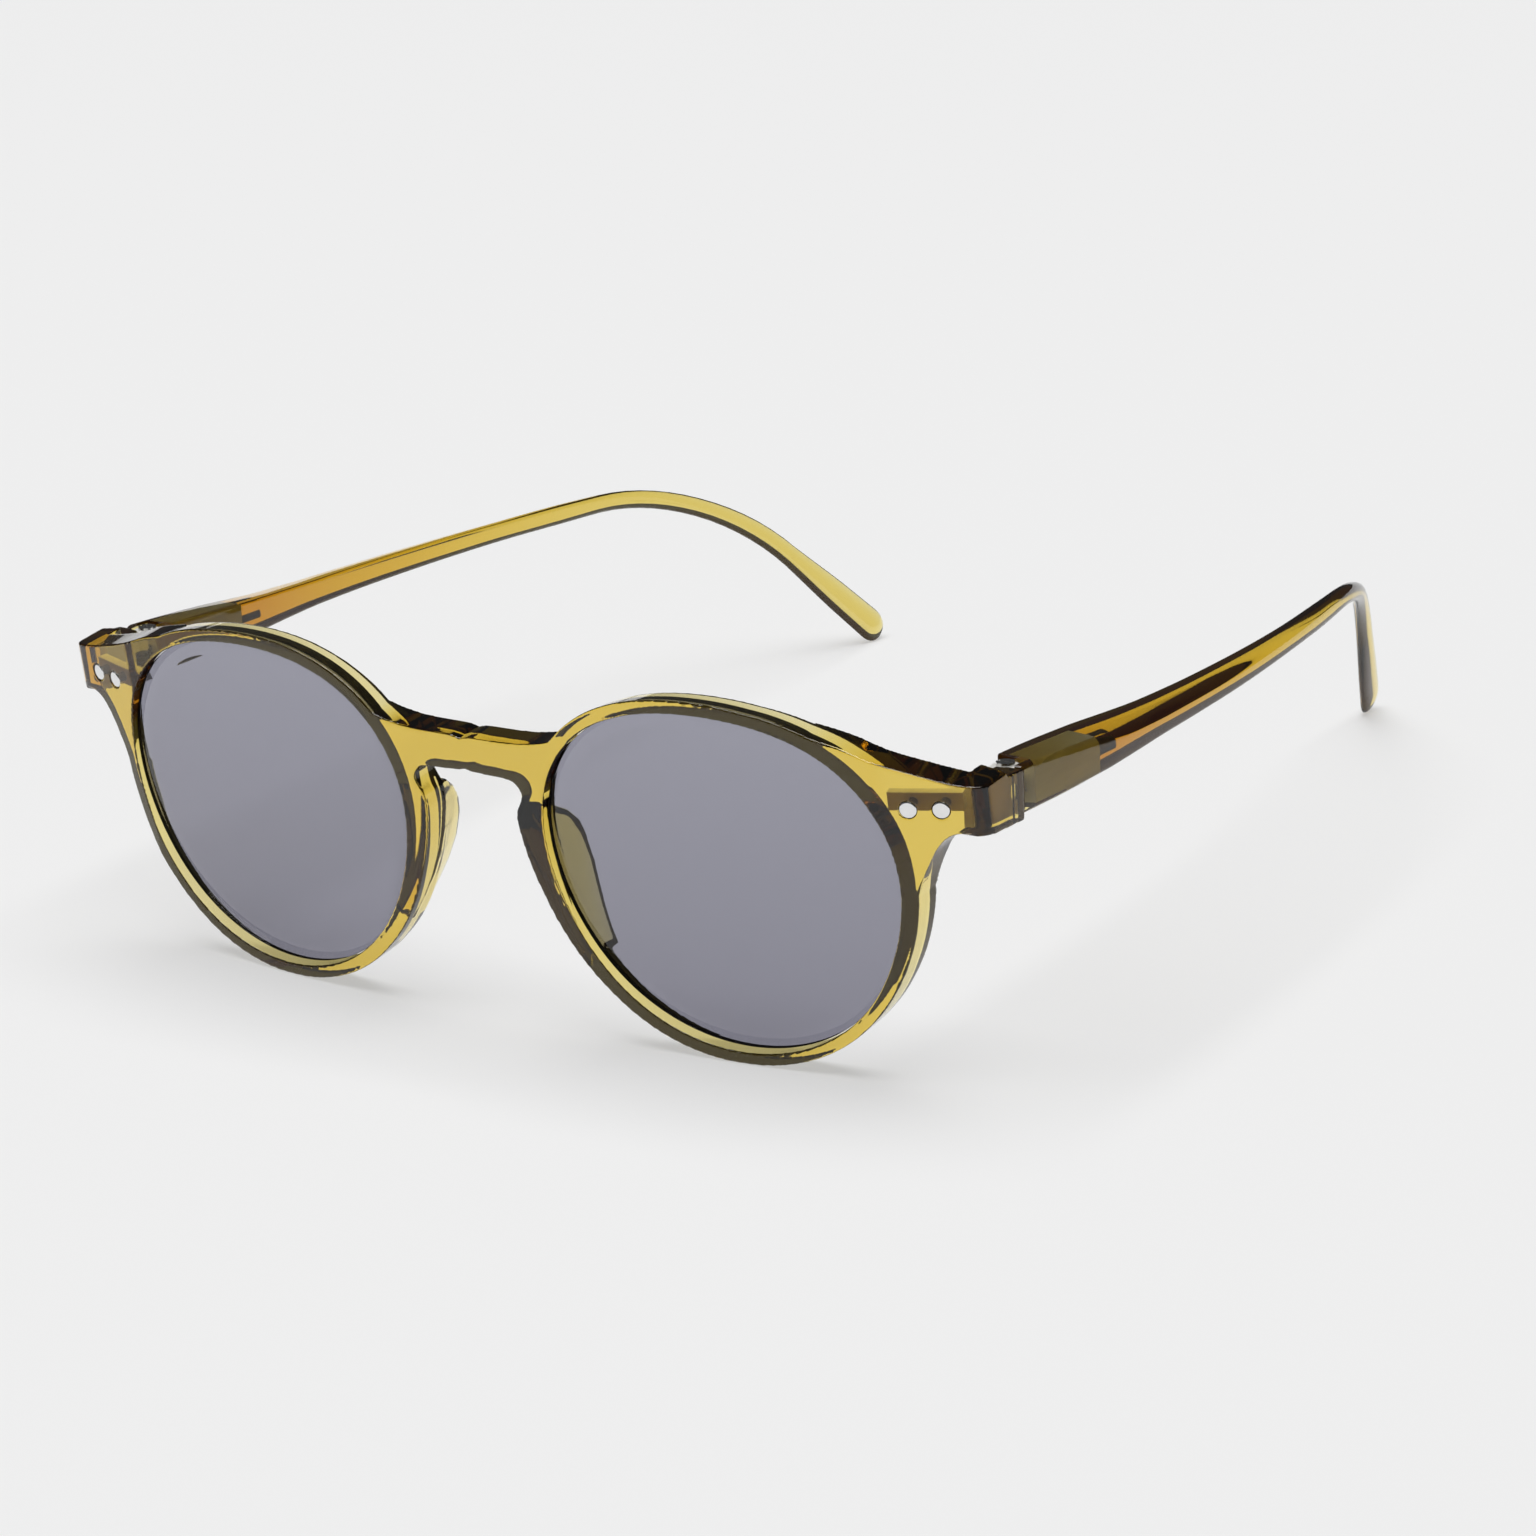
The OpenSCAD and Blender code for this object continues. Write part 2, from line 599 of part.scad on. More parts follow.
// One temple, a bar cut out of its side view and its plan
module temple(side) {
    color([0.56, 0.44, 0.16]) stand() on_side(side) at_hinge() difference() {
        translate([0, 0, temple_rise]) intersection() {
            rotate([90, 0, 90]) translate([0, 0, -2 * side_l])
                linear_extrude(4 * side_l) polygon(temple_side());
            translate([temple_x, 0, -side_l])
                linear_extrude(2 * side_l) rotate([0, 0, 90]) polygon(temple_plan());
        }
        cylinder(r = barrel_r + swing_gap, h = 2 * arm_h, center = true, $fn = 48);
        translate([-temple_t, lip_y - over, -arm_h])
            cube([temple_t + barrel_r + swing_gap, box_y - lip_y + over, 2 * arm_h]);
        translate([box_x - box_w / 2 - box_fit, 0, -box_h / 2 - box_fit])
            cube([box_w + 2 * box_fit, box_y + box_l + box_fit, box_h + 2 * box_fit]);
        translate([box_x, box_y + box_l, 0]) rotate([-90, 0, 0])
            cylinder(d = tail_d + 2 * pin_gap, h = tail_l + box_fit, $fn = 24);
    }
}

front_frame();
lens(1);  // lens_right
lens(-1);  // lens_left
front_pins(1);  // front_pins_right
front_pins(-1);  // front_pins_left
front_hinge(1);  // front_hinge_right
front_hinge(-1);  // front_hinge_left
hinge_screw(1);  // hinge_screw_right
hinge_screw(-1);  // hinge_screw_left
spring_slide(1);  // spring_slide_right
spring_slide(-1);  // spring_slide_left
hinge_spring(1);  // hinge_spring_right
hinge_spring(-1);  // hinge_spring_left
spring_stop(1);  // spring_stop_right
spring_stop(-1);  // spring_stop_left
spring_box(1);  // spring_box_right
spring_box(-1);  // spring_box_left
box_plug(1);  // box_plug_right
box_plug(-1);  // box_plug_left
temple(1);  // temple_right
temple(-1);  // temple_left
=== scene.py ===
# Round sunglasses in clear honey-olive plastic, open and standing on a pale floor
import math

import bpy
import numpy as np
from mathutils import Matrix, Vector


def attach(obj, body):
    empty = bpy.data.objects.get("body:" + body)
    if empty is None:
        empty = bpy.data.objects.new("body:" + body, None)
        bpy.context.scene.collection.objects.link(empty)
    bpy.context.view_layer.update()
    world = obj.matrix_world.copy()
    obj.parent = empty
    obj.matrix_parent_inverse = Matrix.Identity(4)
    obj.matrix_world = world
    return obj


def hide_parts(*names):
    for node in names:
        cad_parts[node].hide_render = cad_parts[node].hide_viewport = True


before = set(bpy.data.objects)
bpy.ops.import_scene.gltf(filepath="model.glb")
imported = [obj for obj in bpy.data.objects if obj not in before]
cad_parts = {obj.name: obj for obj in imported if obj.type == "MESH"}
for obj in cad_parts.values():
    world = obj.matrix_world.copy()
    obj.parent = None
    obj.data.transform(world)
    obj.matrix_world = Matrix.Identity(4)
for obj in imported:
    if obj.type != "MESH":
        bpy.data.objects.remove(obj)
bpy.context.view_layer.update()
mm = 0.001

# Places that all the pieces share, as the hinge and the front have them
stance = {
    "tilt": 4.89144,            # the front leans back by this
    "middle": 73.9694 * mm,     # from the front's own zero back to the middle of the footprint
    "foot": 27.904 * mm,        # the front's own zero above the floor
    "drop": 8.3,                # slope of the temples against the front
    "hinge": (66.308, 18.4496, 5.874),
}

leanMatrix = Matrix.Translation((0, -stance["middle"], stance["foot"])) @ Matrix.Rotation(
    math.radians(stance["tilt"]), 4, "X")
hingeMatrix = leanMatrix @ Matrix.Translation(Vector(stance["hinge"]) * mm) @ Matrix.Rotation(
    math.radians(-stance["drop"]), 4, "X")
mirrorX = Matrix.Scale(-1, 4, (1, 0, 0))


# Small helpers for work in object and edit mode

def pickOnly(obj):
    if bpy.context.object and bpy.context.object.mode != "OBJECT":
        bpy.ops.object.mode_set(mode="OBJECT")
    bpy.ops.object.select_all(action="DESELECT")
    obj.select_set(True)
    bpy.context.view_layer.objects.active = obj
    return obj


def editAll(obj, mode="VERT"):
    pickOnly(obj)
    bpy.ops.object.mode_set(mode="EDIT")
    bpy.ops.mesh.select_mode(type=mode)
    bpy.ops.mesh.select_all(action="SELECT")


def editDone():
    bpy.ops.object.mode_set(mode="OBJECT")


def applyModifier(obj, kind, **settings):
    pickOnly(obj)
    m = obj.modifiers.new(kind.title(), kind)
    for k, v in settings.items():
        setattr(m, k, v)
    bpy.ops.object.modifier_apply(modifier=m.name)


def settle(obj, matrix):
    # the place goes into the mesh, so the object stays at the origin
    obj.data.transform(matrix)
    obj.matrix_world = Matrix.Identity(4)
    if matrix.determinant() < 0:
        obj.data.flip_normals()
    obj.data.update()


def outwards(obj):
    editAll(obj)
    bpy.ops.mesh.normals_make_consistent(inside=False)
    editDone()


def copyNode(node, name):
    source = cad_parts[node]
    obj = bpy.data.objects.new(name, source.data.copy())
    bpy.context.scene.collection.objects.link(obj)
    obj.data.materials.clear()
    editAll(obj)
    bpy.ops.mesh.remove_doubles(threshold=0.002 * mm)
    bpy.ops.mesh.normals_make_consistent(inside=False)
    editDone()
    return obj


def twin(obj, name):
    # the left piece is a mirrored copy with its own mesh
    other = obj.copy()
    other.data = obj.data.copy()
    other.name = name
    bpy.context.scene.collection.objects.link(other)
    settle(other, mirrorX)
    return other


def smooth(obj, angle=None):
    pickOnly(obj)
    if angle is None:
        bpy.ops.object.shade_smooth()
    else:
        bpy.ops.object.shade_smooth_by_angle(angle=math.radians(angle))


# Materials

def newMaterial(name):
    mat = bpy.data.materials.new(name)
    mat.use_nodes = True
    tree = mat.node_tree
    tree.nodes.clear()
    out = tree.nodes.new("ShaderNodeOutputMaterial")
    return mat, tree, out


def link(tree, a, b):
    tree.links.new(a, b)


def objectPlace(tree, scale=(1, 1, 1), place=(0, 0, 0), turn=(0, 0, 0)):
    coord = tree.nodes.new("ShaderNodeTexCoord")
    mapping = tree.nodes.new("ShaderNodeMapping")
    mapping.inputs["Scale"].default_value = scale
    mapping.inputs["Location"].default_value = place
    mapping.inputs["Rotation"].default_value = turn
    link(tree, coord.outputs["Object"], mapping.inputs["Vector"])
    return mapping.outputs["Vector"]


honeyPlastic = {
    "tint": (0.922, 0.803, 0.095, 1),   # what a short way through the plastic lets past
    "density": 600,
    "ior": 1.52,
    "roughness": 0.02,
    "waveSize": 55,                     # slow waves left by moulding and tumbling
    "waveDepth": 0.04,
}
templeHoney = dict(honeyPlastic, density=1000)


def makeHoneyPlastic(name, values):
    mat, tree, out = newMaterial(name)
    shader = tree.nodes.new("ShaderNodeBsdfPrincipled")
    shader.inputs["Base Color"].default_value = (1, 1, 1, 1)
    shader.inputs["Transmission Weight"].default_value = 1
    shader.inputs["IOR"].default_value = values["ior"]
    where = objectPlace(tree)
    wave = tree.nodes.new("ShaderNodeTexNoise")
    wave.inputs["Scale"].default_value = values["waveSize"]
    wave.inputs["Detail"].default_value = 1.0
    link(tree, where, wave.inputs["Vector"])
    bump = tree.nodes.new("ShaderNodeBump")
    bump.inputs["Strength"].default_value = values["waveDepth"]
    bump.inputs["Distance"].default_value = 0.3 * mm
    link(tree, wave.outputs["Fac"], bump.inputs["Height"])
    link(tree, bump.outputs["Normal"], shader.inputs["Normal"])
    # handling marks: the polish varies a little from place to place
    marks = tree.nodes.new("ShaderNodeTexNoise")
    marks.inputs["Scale"].default_value = 420
    marks.inputs["Detail"].default_value = 4
    link(tree, where, marks.inputs["Vector"])
    polish = tree.nodes.new("ShaderNodeMapRange")
    polish.inputs["From Min"].default_value = 0.45
    polish.inputs["From Max"].default_value = 0.75
    polish.inputs["To Min"].default_value = values["roughness"]
    polish.inputs["To Max"].default_value = values["roughness"] + 0.05
    link(tree, marks.outputs["Fac"], polish.inputs["Value"])
    link(tree, polish.outputs["Result"], shader.inputs["Roughness"])
    inside = tree.nodes.new("ShaderNodeVolumeAbsorption")
    inside.inputs["Color"].default_value = values["tint"]
    inside.inputs["Density"].default_value = values["density"]
    link(tree, shader.outputs["BSDF"], out.inputs["Surface"])
    link(tree, inside.outputs["Volume"], out.inputs["Volume"])
    return mat


greyLens = {
    "top": (0.345, 0.345, 0.41, 1),
    "bottom": (0.262, 0.258, 0.315, 1),
    "topHeight": 44 * mm,
    "bottomHeight": 4 * mm,
    "ior": 1.5,
    "roughness": 0.01,
}


def makeGreyLens(name, values):
    mat, tree, out = newMaterial(name)
    shader = tree.nodes.new("ShaderNodeBsdfPrincipled")
    shader.inputs["Transmission Weight"].default_value = 1
    shader.inputs["IOR"].default_value = values["ior"]
    where = objectPlace(tree)
    split = tree.nodes.new("ShaderNodeSeparateXYZ")
    link(tree, where, split.inputs["Vector"])
    fade = tree.nodes.new("ShaderNodeMapRange")
    fade.inputs["From Min"].default_value = values["bottomHeight"]
    fade.inputs["From Max"].default_value = values["topHeight"]
    link(tree, split.outputs["Z"], fade.inputs["Value"])
    tint = tree.nodes.new("ShaderNodeMix")
    tint.data_type = "RGBA"
    tint.inputs["A"].default_value = values["bottom"]
    tint.inputs["B"].default_value = values["top"]
    link(tree, fade.outputs["Result"], tint.inputs["Factor"])
    link(tree, tint.outputs["Result"], shader.inputs["Base Color"])
    marks = tree.nodes.new("ShaderNodeTexNoise")
    marks.inputs["Scale"].default_value = 260
    marks.inputs["Detail"].default_value = 5
    link(tree, where, marks.inputs["Vector"])
    polish = tree.nodes.new("ShaderNodeMapRange")
    polish.inputs["From Min"].default_value = 0.5
    polish.inputs["From Max"].default_value = 0.8
    polish.inputs["To Min"].default_value = values["roughness"]
    polish.inputs["To Max"].default_value = values["roughness"] + 0.02
    link(tree, marks.outputs["Fac"], polish.inputs["Value"])
    link(tree, polish.outputs["Result"], shader.inputs["Roughness"])
    link(tree, shader.outputs["BSDF"], out.inputs["Surface"])
    return mat


def makeGroundEdgePaintedShade(name):
    # the lens's rim is ground and doesn't shine; its near-black colour is painted shade for the dark band along the
    # lens's edge
    mat, tree, out = newMaterial(name)
    shader = tree.nodes.new("ShaderNodeBsdfPrincipled")
    shader.inputs["Roughness"].default_value = 0.7
    grit = tree.nodes.new("ShaderNodeTexNoise")
    grit.inputs["Scale"].default_value = 4000
    link(tree, objectPlace(tree), grit.inputs["Vector"])
    shade = tree.nodes.new("ShaderNodeMix")
    shade.data_type = "RGBA"
    # painted shade: near-black colours for the rim
    shade.inputs["A"].default_value = (0.008, 0.008, 0.009, 1)
    shade.inputs["B"].default_value = (0.03, 0.03, 0.034, 1)
    link(tree, grit.outputs["Fac"], shade.inputs["Factor"])
    link(tree, shade.outputs["Result"], shader.inputs["Base Color"])
    link(tree, shader.outputs["BSDF"], out.inputs["Surface"])
    return mat


# Metals: colour, roughness, how strong the brushing is, and its direction in the row
metals = {
    "pinSilver": {"color": (0.88, 0.88, 0.88, 1), "roughness": 0.16, "grain": (900, 900, 900), "depth": 0.05},
    "hingeSteel": {"color": (0.97, 0.96, 0.92, 1), "roughness": 0.35, "metal": 0.3, "grain": (2600, 300, 2600), "depth": 0.12},
    "screwSteel": {"color": (0.70, 0.70, 0.69, 1), "roughness": 0.2, "grain": (2400, 2400, 400), "depth": 0.08},
    "slideSteel": {"color": (0.58, 0.57, 0.55, 1), "roughness": 0.26, "grain": (2600, 300, 2600), "depth": 0.12},
    "springWire": {"color": (0.50, 0.50, 0.50, 1), "roughness": 0.3, "grain": (3000, 3000, 3000), "depth": 0.08},
    "stopBrass": {"color": (0.80, 0.62, 0.32, 1), "roughness": 0.25, "grain": (2600, 500, 2600), "depth": 0.1},
    "boxSteel": {"color": (0.78, 0.75, 0.66, 1), "metal": 0.4, "roughness": 0.45, "grain": (2600, 260, 2600), "depth": 0.15},
    "plugSteel": {"color": (0.42, 0.41, 0.38, 1), "roughness": 0.3, "grain": (500, 5200, 500), "depth": 0.3},
}


def makeMetal(name, values):
    mat, tree, out = newMaterial(name)
    shader = tree.nodes.new("ShaderNodeBsdfPrincipled")
    shader.inputs["Metallic"].default_value = values.get("metal", 1)
    where = objectPlace(tree, scale=tuple(g * 0.01 for g in values["grain"]))
    grain = tree.nodes.new("ShaderNodeTexNoise")
    grain.inputs["Scale"].default_value = 100
    grain.inputs["Detail"].default_value = 3
    link(tree, where, grain.inputs["Vector"])
    shade = tree.nodes.new("ShaderNodeMix")
    shade.data_type = "RGBA"
    base = values["color"]
    shade.inputs["A"].default_value = (base[0] * 0.86, base[1] * 0.86, base[2] * 0.86, 1)
    shade.inputs["B"].default_value = base
    link(tree, grain.outputs["Fac"], shade.inputs["Factor"])
    link(tree, shade.outputs["Result"], shader.inputs["Base Color"])
    polish = tree.nodes.new("ShaderNodeMapRange")
    polish.inputs["To Min"].default_value = values["roughness"] * 0.8
    polish.inputs["To Max"].default_value = values["roughness"] * 1.3
    link(tree, grain.outputs["Fac"], polish.inputs["Value"])
    link(tree, polish.outputs["Result"], shader.inputs["Roughness"])
    bump = tree.nodes.new("ShaderNodeBump")
    bump.inputs["Strength"].default_value = values["depth"]
    bump.inputs["Distance"].default_value = 0.02 * mm
    link(tree, grain.outputs["Fac"], bump.inputs["Height"])
    link(tree, bump.outputs["Normal"], shader.inputs["Normal"])
    link(tree, shader.outputs["BSDF"], out.inputs["Surface"])
    return mat


frontPlastic = makeHoneyPlastic("frontPlastic", honeyPlastic)
templePlastic = makeHoneyPlastic("templePlastic", templeHoney)
lensTint = makeGreyLens("lensTint", greyLens)
groundEdgePaintedShade = makeGroundEdgePaintedShade("groundEdgePaintedShade")
metalOf = {name: makeMetal(name, values) for name, values in metals.items()}
print("materials made")


# Lenses: a disc of rings drawn in to the middle, domed, then given its thickness
lensPiece = {
    "width": 48.3, "height": 44.5, "bridge": 21.6, "drop": -0.088,
    "skew": -0.018, "panto": 0.031, "square": -0.0115,
    "gap": 0.03,            # between the lens and the opening that it sits in
    "inset": 0.35, "dome": 200, "thick": 1.6, "faceRadius": 364,
    "around": 240, "rings": 10,
    "edge": 0.12 * mm,
}


def lensOutline(values, angle, grow):
    a = math.radians(angle)
    wave = 1 + values["skew"] * math.sin(2 * a) + values["panto"] * math.sin(3 * a) + values["square"] * math.cos(4 * a)
    x = (values["width"] / 2 * wave + grow) * math.cos(a)
    z = (values["height"] / 2 * wave + grow) * math.sin(a)
    return x, z


def makeLens(values):
    around = values["around"]
    bpy.ops.object.select_all(action="DESELECT")
    bpy.ops.mesh.primitive_circle_add(vertices=around, radius=1, fill_type="NOTHING")
    obj = bpy.context.object
    obj.name = "lensRight"
    for v in obj.data.vertices:
        x, z = lensOutline(values, math.degrees(math.atan2(v.co.y, v.co.x)), -values["gap"])
        v.co = Vector((x, 0, z)) * mm
    editAll(obj, "EDGE")
    for ring in range(values["rings"] - 1):
        left = values["rings"] - ring
        share = (left - 1) / left
        bpy.ops.mesh.extrude_region()
        bpy.ops.transform.resize(value=(share, share, share), center_override=(0, 0, 0))
    bpy.ops.mesh.edge_face_add()
    bpy.ops.mesh.poke()
    editDone()
    # onto the sphere that the lens is ground to
    centreX = (values["bridge"] + values["width"]) / 2
    centreZ = values["drop"] * values["height"]
    lean = math.asin(centreX / values["faceRadius"])
    crownY = values["faceRadius"] - math.sqrt(values["faceRadius"] ** 2 - centreX ** 2) + values["inset"]
    domeR = values["dome"] - 0.01
    ball = Vector((-math.sin(lean), math.cos(lean), 0)) * values["dome"] * mm
    for v in obj.data.vertices:
        flat = Vector((v.co.x - ball.x, v.co.z))
        v.co.y = ball.y - math.sqrt((domeR * mm) ** 2 - flat.length_squared)
    thickness = obj.modifiers.new("Thickness", "SOLIDIFY")
    thickness.thickness = (values["thick"] - 0.02) * mm
    thickness.offset = -1
    thickness.material_offset_rim = 1
    obj.data.materials.append(lensTint)
    # the rim takes the ground edge, painted near-black as shade
    obj.data.materials.append(groundEdgePaintedShade)
    pickOnly(obj)
    outwards(obj)
    if obj.data.polygons[0].normal.y > 0:
        obj.data.flip_normals()
    pickOnly(obj)
    bpy.ops.object.modifier_apply(modifier="Thickness")
    applyModifier(obj, "BEVEL", width=values["edge"], segments=2, limit_method="ANGLE", angle_limit=math.radians(50))
    settle(obj, leanMatrix @ Matrix.Translation(Vector((centreX, crownY, centreZ)) * mm))
    outwards(obj)
    smooth(obj, 35)
    return obj


lensRight = makeLens(lensPiece)
lensLeft = twin(lensRight, "lensLeft")
for obj, side in ((lensRight, "right"), (lensLeft, "left")):
    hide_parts("lens_" + side)
    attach(obj, "front")
print("lenses made")


# Front: rims, bridge, ends and pads as plain blocks first, made one, and then worn round
frontPiece = {
    "width": 139.6, "faceRadius": 364, "deep": 4.14,
    "rims": [(0, 2.2), (45, 2.2), (75, 1.5), (120, 1.35), (140, 1.5), (180, 3.1), (225, 1.94), (270, 1.55),
             (315, 1.55), (360, 2.2)],
    # draft of the outside wall, and how far it moves the front edge out, by the same angles
    "drafts": [(0, 0.02), (40, 0.1), (70, 0.16), (120, 0.16), (150, 0.06), (180, 0), (360, 0.02)],
    "lifts": [(0, 0), (40, 0.2), (70, 0.31), (120, 0.31), (150, 0.1), (180, 0), (360, 0)],
    "bridge": [(-0.1, 0.658), (0.74, 0.66), (1, 0.675), (1.16, 0.69), (1.3, 0.712), (1.5, 0.6), (1.3, 0.1),
               (1.45, -0.4), (1.27, -0.57), (1.085, -0.43), (0.93, -0.295), (0.81, -0.16), (0.72, -0.02),
               (0.665, 0.118), (0.645, 0.19), (0.66, 0.262), (0.73, 0.31), (0.76, 0.352), (0.745, 0.39),
               (0.675, 0.424), (0.575, 0.442), (-0.1, 0.451)],
    "padEdge": (8, 15),     # this stretch of the list above carries the pad
    "end": [(0.36, 0.915), (0.43, 0.893), (0.52, 0.858), (0.6, 0.808), (0.69, 0.757), (0.75, 0.728), (0.81, 0.7),
            (0.86, 0.678), (0.905, 0.66), (1.02, 0.637), (1.02, 0.385), (0.891, 0.38), (0.85, 0.34), (0.81, 0.26),
            (0.762, 0.1), (0.74, -0.02), (0.6, 0), (0.4, 0.5)],
    "wrapX": 57, "wrapTurn": 18, "cornerR": 2.6, "armT": 3.6, "armL": 9.8, "armH": 6.2, "armGap": 0.3, "endBack": 4.5,
    "barrelR": 1.65, "swing": 0.3,
    "padDeep": 4.6, "padThick": 2.3, "padTurn": 16,
    "padRows": [(0.262, 0.2), (0.19, 0.55), (0.09, 0.88), (0, 1), (-0.16, 1), (-0.295, 0.83), (-0.43, 0.6),
                (-0.57, 0.35), (-0.66, 0)],
    "pinStart": 4.15, "pinPitch": 4, "pinHeight": 0.516, "pinHeadR": 1.13, "pinHeadT": 0.7,
    "voxel": 0.15 * mm,
    "rounds": 9,            # passes over everything
    "padRounds": 40,        # more passes over the nose pads
    "padFrom": 4.4,         # behind this depth, in the front's own frame, it is a pad
    "padWithin": 22,        # and nearer the middle than this
    "faces": 180000,
}

centreX = (lensPiece["bridge"] + lensPiece["width"]) / 2
centreZ = lensPiece["drop"] * lensPiece["height"]


def up(share):
    return centreZ + share * lensPiece["height"] / 2


def faceY(x):
    r = frontPiece["faceRadius"]
    return r - math.sqrt(r * r - x * x)


def backY(x):
    r = frontPiece["faceRadius"]
    return r - math.sqrt((r - frontPiece["deep"]) ** 2 - x * x)


def rounded(points, passes=4):
    # corners cut again and again, as a file does
    for _ in range(passes):
        cut = []
        for i, p in enumerate(points):
            q = points[(i + 1) % len(points)]
            cut.append((p[0] * 0.8 + q[0] * 0.2, p[1] * 0.8 + q[1] * 0.2))
            cut.append((p[0] * 0.2 + q[0] * 0.8, p[1] * 0.2 + q[1] * 0.8))
        points = cut
    return points


def prism(points, low, high, upright=False):
    # an outline drawn out from low to high: seen from the front, or from above if upright
    bpy.ops.object.select_all(action="DESELECT")
    bpy.ops.mesh.primitive_circle_add(vertices=len(points), radius=1, fill_type="NGON")
    obj = bpy.context.object
    for v, p in zip(obj.data.vertices, points):
        v.co = Vector((p[0], p[1], low) if upright else (p[0], low, p[1])) * mm
    editAll(obj, "FACE")
    shift = (0, 0, (high - low) * mm) if upright else (0, (high - low) * mm, 0)
    bpy.ops.mesh.extrude_region_move(TRANSFORM_OT_translate={"value": shift})
    editDone()
    outwards(obj)
    return obj


def combine(obj, other, operation):
    applyModifier(obj, "BOOLEAN", operation=operation, object=other, solver="EXACT")
    bpy.data.objects.remove(other)
    return obj


def roundBar(radius, length, matrix, vertices=64):
    bpy.ops.object.select_all(action="DESELECT")
    bpy.ops.mesh.primitive_cylinder_add(vertices=vertices, radius=radius * mm, depth=length * mm)
    obj = bpy.context.object
    settle(obj, matrix)
    return obj


def blockBetween(low, high, matrix=None):
    bpy.ops.object.select_all(action="DESELECT")
    bpy.ops.mesh.primitive_cube_add(size=1)
    obj = bpy.context.object
    size = (Vector(high) - Vector(low)) * mm
    middle = (Vector(high) + Vector(low)) / 2 * mm
    place = Matrix.Translation(middle) @ Matrix.Diagonal(size).to_4x4()
    settle(obj, (matrix or Matrix.Identity(4)) @ place)
    return obj


def pinMatrix(values, i):
    turn = math.radians(values["wrapTurn"])
    reach = values["pinStart"] + i * values["pinPitch"]
    place = Vector((values["wrapX"] + reach * math.cos(turn),
                    faceY(values["wrapX"]) + reach * math.sin(turn), up(values["pinHeight"]))) * mm
    return Matrix.Translation(place) @ Matrix.Rotation(turn, 4, "Z") @ Matrix.Rotation(-math.pi / 2, 4, "X")


def planOutline(values, endY):
    half, wrapX, r = values["width"] / 2, values["wrapX"], values["cornerR"]
    turn = math.radians(values["wrapTurn"])
    sideY = faceY(wrapX) + (half - wrapX) * math.tan(turn)
    cornerY = sideY + r * (1 / math.cos(turn) - math.tan(turn))
    inX = half - values["armT"]
    plan = [(x, faceY(x)) for x in np.linspace(-2, wrapX, 120)]
    for i in range(13):
        a = turn - math.pi / 2 + i * (math.pi / 2 - turn) / 12
        plan.append((half - r + r * math.cos(a), cornerY + r * math.sin(a)))
    plan += [(half, endY), (inX, endY), (inX, backY(wrapX) + (inX - wrapX) * math.tan(turn))]
    plan += [(x, backY(x)) for x in np.linspace(wrapX, -2, 120)]
    return plan


